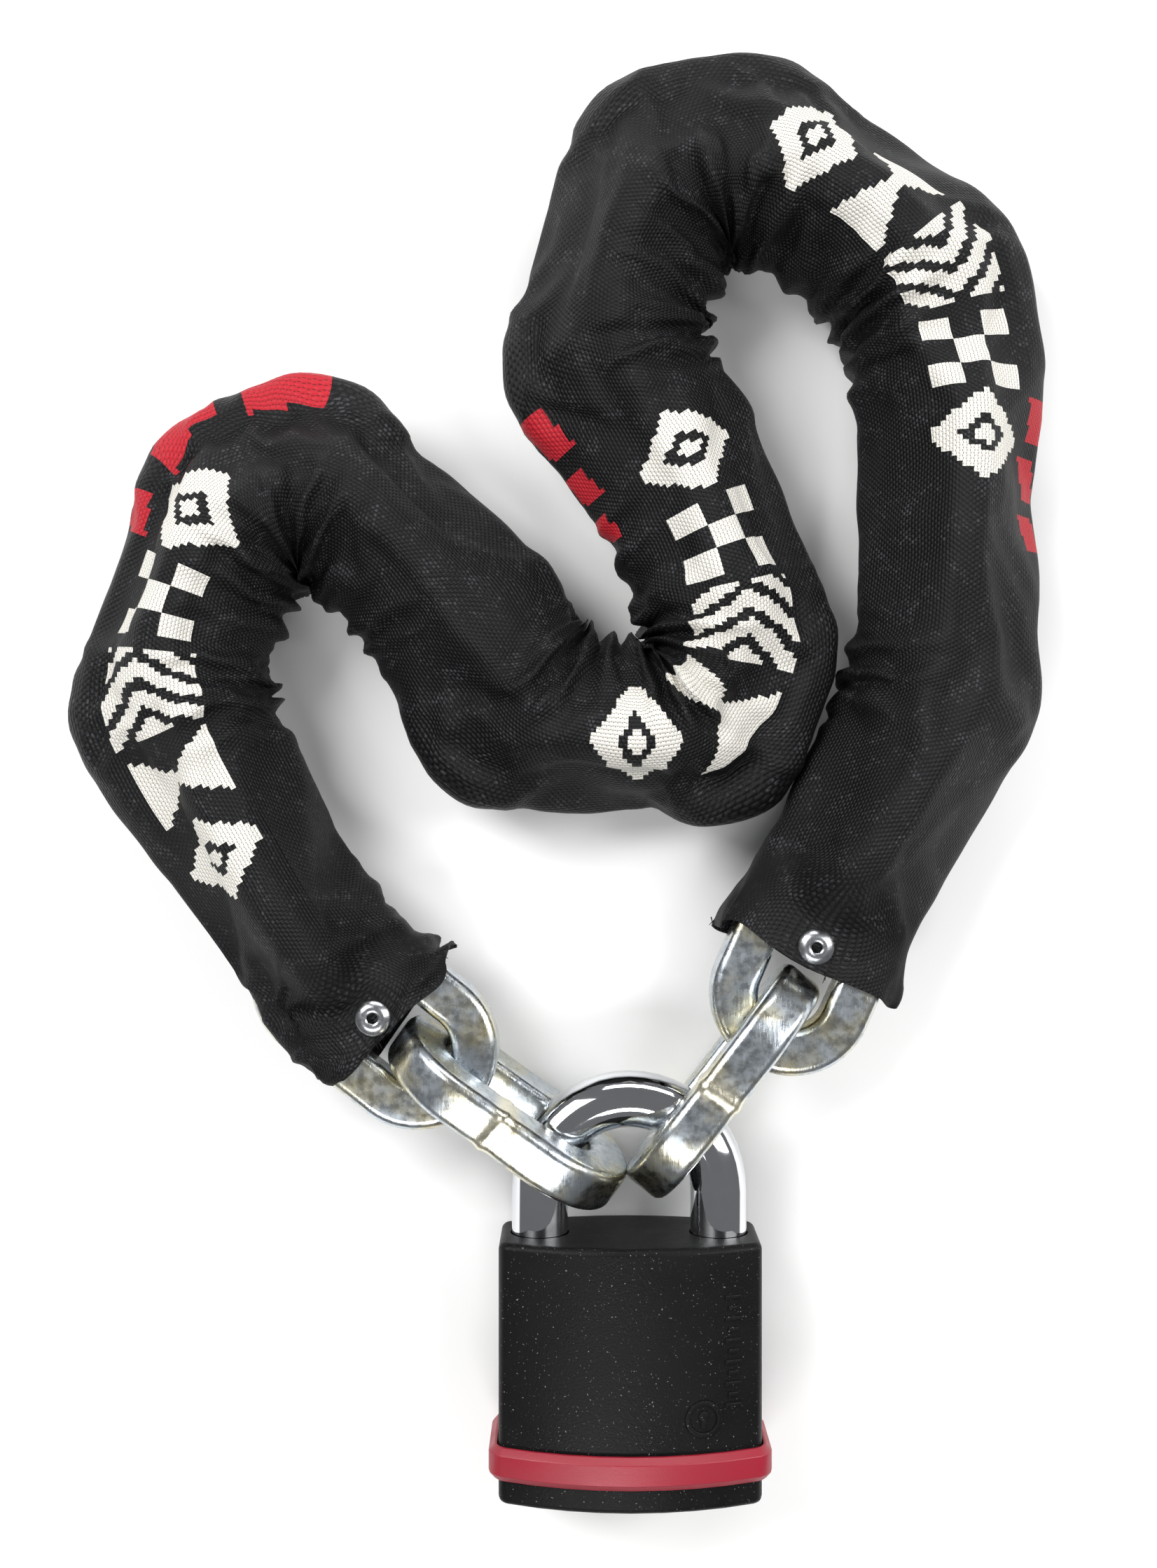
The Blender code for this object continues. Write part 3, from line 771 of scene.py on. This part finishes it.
    def settled(self, tube: Object) -> None:
        """Keep the simulated shape, refined once, as the tube's own mesh."""
        graph = bpy.context.evaluated_depsgraph_get()
        shaped = pull(tube.evaluated_get(graph).data.vertices, "co", 3)
        tube.modifiers.clear()
        tube.shape_key_clear()
        shaped[:, 2] = np.clip(shaped[:, 2], self.floor_gap, 2 * self.height + 3 * MM)
        tube.data.vertices.foreach_set("co", shaped.ravel())
        tube.data.update()
        self.measure_slack(tube.data, shaped)
        refine = tube.modifiers.new("refine", "SUBSURF")
        refine.levels = refine.render_levels = 1
        refine.uv_smooth = "NONE"
        graph = bpy.context.evaluated_depsgraph_get()
        mesh = bpy.data.meshes.new_from_object(tube.evaluated_get(graph))
        tube.modifiers.clear()
        tube.data = mesh
        self.gather(mesh)
        mesh.shade_smooth()

    def measure_slack(self, mesh: Mesh, shaped: np.ndarray) -> None:
        """Store at each point how much shorter the cloth lies there than it was cut."""
        count = len(mesh.vertices)
        straight = pull(mesh.attributes["straight"].data, "vector", 3)
        pairs = pull(mesh.edges, "vertices", 2, np.int32)
        cut = np.abs(straight[pairs[:, 0], 0] - straight[pairs[:, 1], 0])
        pairs, cut = pairs[cut > 0.6 * self.cell], cut[cut > 0.6 * self.cell]
        lies = np.linalg.norm(shaped[pairs[:, 0]] - shaped[pairs[:, 1]], axis=1)
        slack = np.ones(count)
        for turn in range(3):
            total, weight = np.zeros(count), np.zeros(count)
            share = slack[pairs].sum(1) / 2 if turn else lies / cut
            for end in (0, 1):
                np.add.at(total, pairs[:, end], share)
                np.add.at(weight, pairs[:, end], 1)
            slack = total / np.maximum(weight, 1)
        mesh.attributes.new("slack", "FLOAT", "POINT").data.foreach_set("value", slack)

    def gather(self, mesh: Mesh) -> None:
        """Raise the spare cloth at the inside of bends into folds across the sleeve."""
        straight = pull(mesh.attributes["straight"].data, "vector", 3)
        slack = pull(mesh.attributes["slack"].data, "value")
        points, normals = (pull(mesh.vertices, key, 3) for key in ("co", "normal"))
        ends = np.minimum(straight[:, 0] - self.cloth_v[0], self.cloth_v[-1] - straight[:, 0])
        for i in range(len(points)):
            place = Vector(straight[i].tolist())
            spare = min(1.0, max(0.0, (self.fold_from - float(slack[i])) / self.fold_range))
            drift = 3.4 * noise.noise(place * 32) + 1.0 * noise.noise(place * 110)
            wave = 0.5 + 0.5 * math.sin(2 * math.pi * place.x / self.fold_pitch + drift * 2)
            crumple = noise.noise(place * 75 + Vector((9, 0, 0)))
            free = min(1.0, max(0.0, float(ends[i]) / (26 * MM) - 0.3))
            small = 0.5 + 0.5 * math.sin(2 * math.pi * place.x / (0.37 * self.fold_pitch) + drift)
            lift = spare * (self.fold_depth * wave ** 1.4 + 0.5 * MM * small)
            lift += 1.2 * MM * crumple * free
            points[i] += normals[i] * max(lift, -0.35 * MM)
        points[:, 2] = np.clip(points[:, 2], self.floor_gap, 2 * self.height + 4 * MM)
        mesh.vertices.foreach_set("co", points.ravel())
        mesh.update()

    def motif(self, across: float, along: float) -> tuple[float, float]:
        """Say which thread shows at a place on the cloth.

        Args:
            across: angle round the tube in degrees, 90 on top.
            along: distance along the chain in metres.

        Returns:
            One or zero for off-white and for red.
        """
        for start, centre in self.blocks:
            place = (along - start) / self.block_length
            if not -0.05 < place < 1.3:
                continue
            x, cells = (across - centre) / 39, len(MOTIFS)
            index, y = math.floor(place * cells), (place * cells % 1) * 2 - 1
            if 0 <= index < cells and abs(x) < 1 and MOTIFS[index](x, y * 1.1):
                return 1.0, 0.0
            mark = (place - 0.78) / 0.13
            lean = (across - 14) / 13 + (mark % 1 - 0.5) * 0.9
            if 0 <= mark < 3 and 0.16 < mark % 1 < 0.84 and abs(lean) < 0.85:
                return 0.0, 1.0
        return 0.0, 0.0

    def weave_motifs(self, tube: Object) -> None:
        """Store the motif on every face corner and the joint segment on every face."""
        mesh = tube.data
        uv = pull(mesh.uv_layers["cloth"].data, "uv", 2).reshape(-1, 4, 2).mean(1)
        perimeter = 2 * math.pi * self.radius
        angle = uv[:, 0] / perimeter * 360
        run = np.interp(uv[:, 1], self.cloth_run, self.run)
        corner = np.r_[0, np.cumsum(np.linalg.norm(np.diff(self.line, axis=0), axis=1))]
        scale = corner[-1] / self.run[-1]
        colours = np.zeros((len(uv), 4, 4), np.float32)
        colours[:, :, 3] = 1
        for i, (a, r) in enumerate(zip(angle, run * scale)):
            white, red = self.motif(float(a), float(r))
            colours[i, :, 0], colours[i, :, 1] = white, red
        store = mesh.color_attributes.new("motif", "FLOAT_COLOR", "CORNER")
        store.data.foreach_set("color", colours.reshape(-1))
        middles = [np.interp((corner[k] + corner[k + 1]) / 2 / scale, self.run, self.cloth_run)
                   for k in range(1, len(corner) - 2)]
        rows = [self.cloth_v[np.abs(self.cloth_v - m).argmin()] for m in middles]
        self.borders = rows
        mesh.materials.clear()
        for _ in range(len(rows) + 1):
            mesh.materials.append(None)
        mesh.polygons.foreach_set("material_index",
                                  np.searchsorted(rows, uv[:, 1]).astype(np.int32))
        kept = mesh.attributes.new("whole_normal", "FLOAT_VECTOR", "POINT")
        kept.data.foreach_set("vector", pull(mesh.vertices, "normal", 3).ravel())

    def split(self, tube: Object) -> list[Object]:
        """Separate the tube at the links' middles, left to right."""
        others = set(bpy.data.objects)
        bpy.context.view_layer.objects.active = tube
        for item in bpy.context.selected_objects:
            item.select_set(False)
        tube.select_set(True)
        bpy.ops.object.mode_set(mode="EDIT")
        bpy.ops.mesh.select_mode(type="FACE")
        bpy.ops.mesh.separate(type="MATERIAL")
        bpy.ops.object.mode_set(mode="OBJECT")
        parts = [tube] + [o for o in bpy.data.objects if o not in others]
        layers = {o: o.data.uv_layers["cloth"].data for o in parts}
        return sorted(parts, key=lambda o: sum(layers[o][i].uv[1] for i in range(40)))

    def finish_part(self, part: Object, number: int, last: int) -> None:
        """Name, thicken and shade one segment of the sleeve, and bake its placement into its mesh.

        Args:
            part: the segment's object.
            number: its place from the left end.
            last: the number of the right end's segment.
        """
        part.name = part.data.name = f"sleeve_part_{number + 1:02d}"
        mesh = part.data
        mesh.materials.clear()
        mesh.materials.append(WEBBING.material())
        mesh.polygons.foreach_set("material_index", np.zeros(len(mesh.polygons), np.int32))
        outer = len(mesh.vertices)
        if number in (0, last):
            shell = part.modifiers.new("wall", "SOLIDIFY")
            shell.thickness, shell.offset = self.wall, -1
            graph = bpy.context.evaluated_depsgraph_get()
            mesh = bpy.data.meshes.new_from_object(part.evaluated_get(graph))
            part.modifiers.clear()
            part.data = mesh
        normals = pull(mesh.attributes["whole_normal"].data, "vector", 3)
        normals[outer:] *= -1
        mesh.shade_smooth()
        mesh.normals_split_custom_set_from_vertices(normals.tolist())
        self.join(part, number, outer)

    def join(self, part: Object, number: int, outer: int) -> None:
        """Bake the placement of a segment, which covers the joint of two links, into its mesh, and
        hide the CAD sleeve with the first segment.
        """
        points = pull(part.data.vertices, "co", 3)[:outer]
        near, far = self.chain.centre(number + 2), self.chain.centre(number + 3)
        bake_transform(part)
        if number == 0:
            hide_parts("sleeve")

    def fray(self, name: str, row: int, body: str, source: np.ndarray, out: Vector) -> None:
        """Short loose threads standing out of a cut edge.

        Args:
            name: the piece's name.
            row: which end row of the tube they stand on.
            body: the link they ride on.
            source: the edge's points.
            out: direction out of the sleeve's end.
        """
        rng = random.Random(SEED + row)
        work = bmesh.new()
        for point in source:
            for _ in range(2):
                length = rng.uniform(*self.fray_length) * MM
                lean = Vector([rng.uniform(-0.7, 0.7) for _ in range(3)])
                way = (out + lean).normalized()
                slip = [rng.uniform(-0.8, 0.8) * MM for _ in range(2)]
                foot = Vector(point) + Vector(slip + [0])
                place = Matrix.Translation(foot + way * length * 0.4)
                turn = way.to_track_quat("Z", "Y").to_matrix().to_4x4()
                bmesh.ops.create_cone(work, cap_ends=True, segments=5, radius1=0.17 * MM,
                                      radius2=0.07 * MM, depth=length, matrix=place @ turn)
        for vert in work.verts:
            vert.co.z = max(vert.co.z, 0.2 * MM)
        piece = from_bmesh(name, work, THREAD)
        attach(piece, body)

    def build(self) -> None:
        """Lay, simulate, split and finish the sleeve."""
        tube = self.lay_tube()
        self.simulate(tube)
        self.weave_motifs(tube)
        parts = self.split(tube)
        for number, part in enumerate(parts):
            if number == 0 or number == len(parts) - 1:
                self.fray_end(part, number == 0)
            self.finish_part(part, number, len(parts) - 1)
            LOG.info("built %s with %d faces", part.name, len(part.data.polygons))

    def fray_end(self, part: Object, left: bool) -> None:
        """Put loose threads along one end's cut edge."""
        mesh = part.data
        layer = mesh.uv_layers["cloth"].data
        edge_v = self.cloth_v[0] if left else self.cloth_v[-1]
        picked = {loop.vertex_index for loop in mesh.loops
                  if abs(layer[loop.index].uv[1] - edge_v) < 0.1 * MM}
        points = np.array([mesh.vertices[i].co[:] for i in sorted(picked)])
        number = 2 if left else self.chain.count - 1
        out = self.chain.heading(number) * (-1 if left else 1)
        self.fray("fray_left" if left else "fray_right", int(left), f"link_{number:02d}",
                  points, out)


def smooth_step(value: float) -> float:
    """Smooth step from zero to one."""
    value = min(1.0, max(0.0, value))
    return value * value * (3 - 2 * value)


def nested_lozenge(x: float, y: float) -> bool:
    """A lozenge inside an open lozenge."""
    ring = abs(x) + abs(y)
    return ring < 0.26 or 0.50 < ring < 1.12


def nested_arrows(x: float, y: float) -> bool:
    """Three arrowheads, one behind the other."""
    return abs(y) < 0.98 and (y + 1 + 0.8 * abs(x)) % 0.66 < 0.40


def checker(x: float, y: float) -> bool:
    """A small chequerboard."""
    return (abs(x) < 0.93 and abs(y) < 0.96
            and (math.floor((x + 0.93) / 0.62) + math.floor((y + 0.96) / 0.64)) % 2 == 0)


def bow_tie(x: float, y: float) -> bool:
    """Two solid wedges that meet at a narrow waist."""
    return abs(x) < 0.96 and abs(y) < 0.12 + 0.84 * abs(x)


MOTIFS = (nested_lozenge, bow_tie, nested_arrows, checker, nested_lozenge)
# The loose thread uses the coat finish, so its pale specks are painted glints.
THREAD = TexturedCoat("loose_polyester_thread", "#101012", "#1c1c1e", "#3a3a3d", 0.3)


# --- padlock
@dataclass
class Padlock:
    """Body, bumper, shackle, works and rivets, on their CAD shapes."""

    face_radius: float = 71.4 * MM
    half_depth: float = 18.0 * MM
    ticks: int = 11
    tick_x: float = 23.4

    def face_height(self, x: float) -> float:
        """Height of the bowed front face at a distance from the body's middle line."""
        return (math.sqrt(self.face_radius ** 2 - x ** 2)
                - self.face_radius + self.half_depth)

    def relief(self) -> Object:
        """Raised keyhole badge and a column of short ticks on the front face."""
        low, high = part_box("padlock_body")
        top, level = high.y, (low.z + high.z) / 2
        work = bmesh.new()
        for k in range(self.ticks):
            half = (1.9, 1.2)[k % 2]
            self.plate(work, (self.tick_x, -(11.5 + 2.45 * k)), half, 0.55)
        self.band(work, (16.5, -38.6), 3.1, 4.2)
        self.band(work, (16.5, -37.9), 0.0, 1.15)
        self.plate(work, (16.5, -39.7), 0.6, 1.2)
        for vert in work.verts:
            vert.co.z += level + self.face_height(vert.co.x)
            vert.co.x += (low.x + high.x) / 2
            vert.co.y += top
        piece = from_bmesh("front_relief", work, COAT)
        bevel = piece.modifiers.new("round", "BEVEL")
        bevel.width, bevel.segments = 0.12 * MM, 2
        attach(piece, "padlock")
        return piece

    def plate(self, work: BMesh, centre: tuple[float, float], half_x: float,
              half_y: float) -> None:
        """Add one low plate, its centre and half sizes in millimetres."""
        made = bmesh.ops.create_grid(work, x_segments=4, y_segments=1, size=1.0)
        bmesh.ops.scale(work, verts=made["verts"], vec=(half_x * MM, half_y * MM, 1))
        bmesh.ops.translate(work, verts=made["verts"],
                            vec=(centre[0] * MM, centre[1] * MM, 0))
        self.lift(work, list({f for v in made["verts"] for f in v.link_faces}))

    def band(self, work: BMesh, centre: tuple[float, float], inner: float,
             outer: float) -> None:
        """Add one low ring, or a disc where the inner radius is zero, in millimetres."""
        place = Matrix.Translation((centre[0] * MM, centre[1] * MM, 0))
        loops = [bmesh.ops.create_circle(work, segments=40, radius=r * MM, matrix=place,
                                         cap_ends=not inner) for r in (inner, outer) if r]
        if inner:
            edges = {e for loop in loops for v in loop["verts"] for e in v.link_edges}
            faces = bmesh.ops.bridge_loops(work, edges=list(edges))["faces"]
        else:
            faces = list({f for v in loops[0]["verts"] for f in v.link_faces})
        self.lift(work, faces)

    def lift(self, work: BMesh, faces: list[BMFace]) -> None:
        """Extrude flat faces into a low solid sunk slightly into the face."""
        base = {v for f in faces for v in f.verts}
        made = bmesh.ops.extrude_face_region(work, geom=faces, use_keep_orig=True)
        top = [g for g in made["geom"] if isinstance(g, BMVert)]
        bmesh.ops.translate(work, verts=top, vec=(0, 0, 0.38 * MM))
        bmesh.ops.translate(work, verts=list(base), vec=(0, 0, -0.3 * MM))

    def rivet(self, side: str, body: str) -> None:
        """Domed rivet head with its hollow, on a shank with a set tail."""
        low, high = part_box(f"rivet_{side}")
        centre = (low + high) / 2
        head = [(1.25, -2.4), (1.3, -0.3), (1.75, 0.0), (2.9, -0.22), (3.9, -0.8),
                (4.3, -1.3), (4.4, -1.62), (2.2, -1.62)]
        tail = [(2.2, 2.3), (3.3, 2.3), (3.9, 1.4), (3.4, 0.0)]
        work = bmesh.new()
        points = ([(r * MM, high.z + z * MM) for r, z in head]
                  + [(r * MM, low.z + z * MM) for r, z in tail])
        verts = [work.verts.new((radius, 0, height)) for radius, height in points]
        edges = [work.edges.new(pair) for pair in zip(verts, verts[1:])]
        bmesh.ops.spin(work, geom=verts + edges, cent=(0, 0, 0), axis=(0, 0, 1),
                       angle=2 * math.pi, steps=48, use_merge=True)
        bmesh.ops.holes_fill(work, edges=work.edges, sides=0)
        bmesh.ops.translate(work, verts=work.verts, vec=(centre.x, centre.y, 0))
        piece = from_bmesh(f"set_rivet_{side}", work, ALUMINIUM)
        piece.data.set_sharp_from_angle(angle=math.radians(50))
        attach(piece, body)
        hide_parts(f"rivet_{side}")
        dress(f"rivet_washer_{side}", STEEL, 0.1)

    def build(self) -> None:
        """Dress the padlock's CAD nodes and add the relief and rivets."""
        dress("padlock_body", COAT, 0.12)
        dress("bumper_ring", BUMPER, 0.16)
        dress("shackle", CHROME)
        dress("cylinder_shell", BRASS, 0.12)
        dress("plug", BRASS, 0.12)
        plain = ["cam", "drill_plate", "retaining_screw", "locking_ball_toe",
                 "locking_ball_heel", "shackle_spring"]
        for k in range(1, 6):
            dress(f"key_pin_{k}", BRASS)
            plain += [f"driver_pin_{k}", f"pin_spring_{k}"]
        for name in plain:
            dress(name, STEEL)
        LOG.info("built %s", self.relief().name)
        self.rivet("left", "link_02")
        self.rivet("right", "link_20")


# --- studio
@dataclass
class Studio:
    """Pale floor, soft lights and the camera above the lock."""

    camera_place: tuple[float, float, float] = (0.005265, -0.003091, 0.456)
    focal: float = 42.55
    sky_strength: float = 0.2
    lamps: tuple[tuple, ...] = (("key_light", (-0.62, 0.50, 0.80), 11.0, (0.45, 0.7)),
                                ("fill_light", (0.78, 0.20, 0.70), 8.0, (0.35, 0.9)),
                                ("low_light", (-0.10, -0.62, 0.80), 4.5, (0.55, 0.22)),
                                ("far_light", (0.15, 0.95, 0.55), 4.5, (0.9, 0.25)))

    def floor(self) -> None:
        """A wide flat board under the lock."""
        work = bmesh.new()
        bmesh.ops.create_grid(work, x_segments=2, y_segments=2, size=2.5)
        bmesh.ops.translate(work, verts=work.verts, vec=(0, 0, -0.0004))
        piece = from_bmesh("floor", work, BOARD)

    def lamp(self, name: str, place: tuple[float, float, float], watts: float,
             size: tuple[float, float]) -> None:
        """A rectangular soft light aimed at the lock."""
        data = bpy.data.lights.new(name, "AREA")
        data.shape, data.energy = "RECTANGLE", watts
        data.size, data.size_y = size
        lamp = link_object(name, data)
        lamp.location = place
        lamp.rotation_euler = (-Vector(place)).to_track_quat("-Z", "Y").to_euler()

    def build(self) -> None:
        """Set the floor, lights, sky and camera."""
        self.floor()
        for row in self.lamps:
            self.lamp(*row)
        world = bpy.data.worlds.new("studio")
        world.use_nodes = True
        sky = world.node_tree.nodes["Background"]
        sky.inputs["Color"].default_value = linear("#f2f4f7")
        sky.inputs["Strength"].default_value = self.sky_strength
        bpy.context.scene.world = world
        data = bpy.data.cameras.new("camera")
        data.lens, data.sensor_width = self.focal, 36.0
        data.clip_start = 0.01
        camera = link_object("camera", data)
        camera.location = self.camera_place
        bpy.context.scene.camera = camera
        bpy.context.scene.view_settings.view_transform = "Standard"


def main() -> None:
    """Build the studio, the padlock, the chain and the sleeve in order."""
    logging.basicConfig(level=logging.INFO)
    Studio().build()
    LOG.info("studio ready")
    Padlock().build()
    LOG.info("padlock ready")
    chain = Chain()
    chain.build()
    LOG.info("chain ready")
    Sleeve(chain).build()
    LOG.info("sleeve ready")
    bpy.context.view_layer.update()


if __name__ == "__main__":
    main()
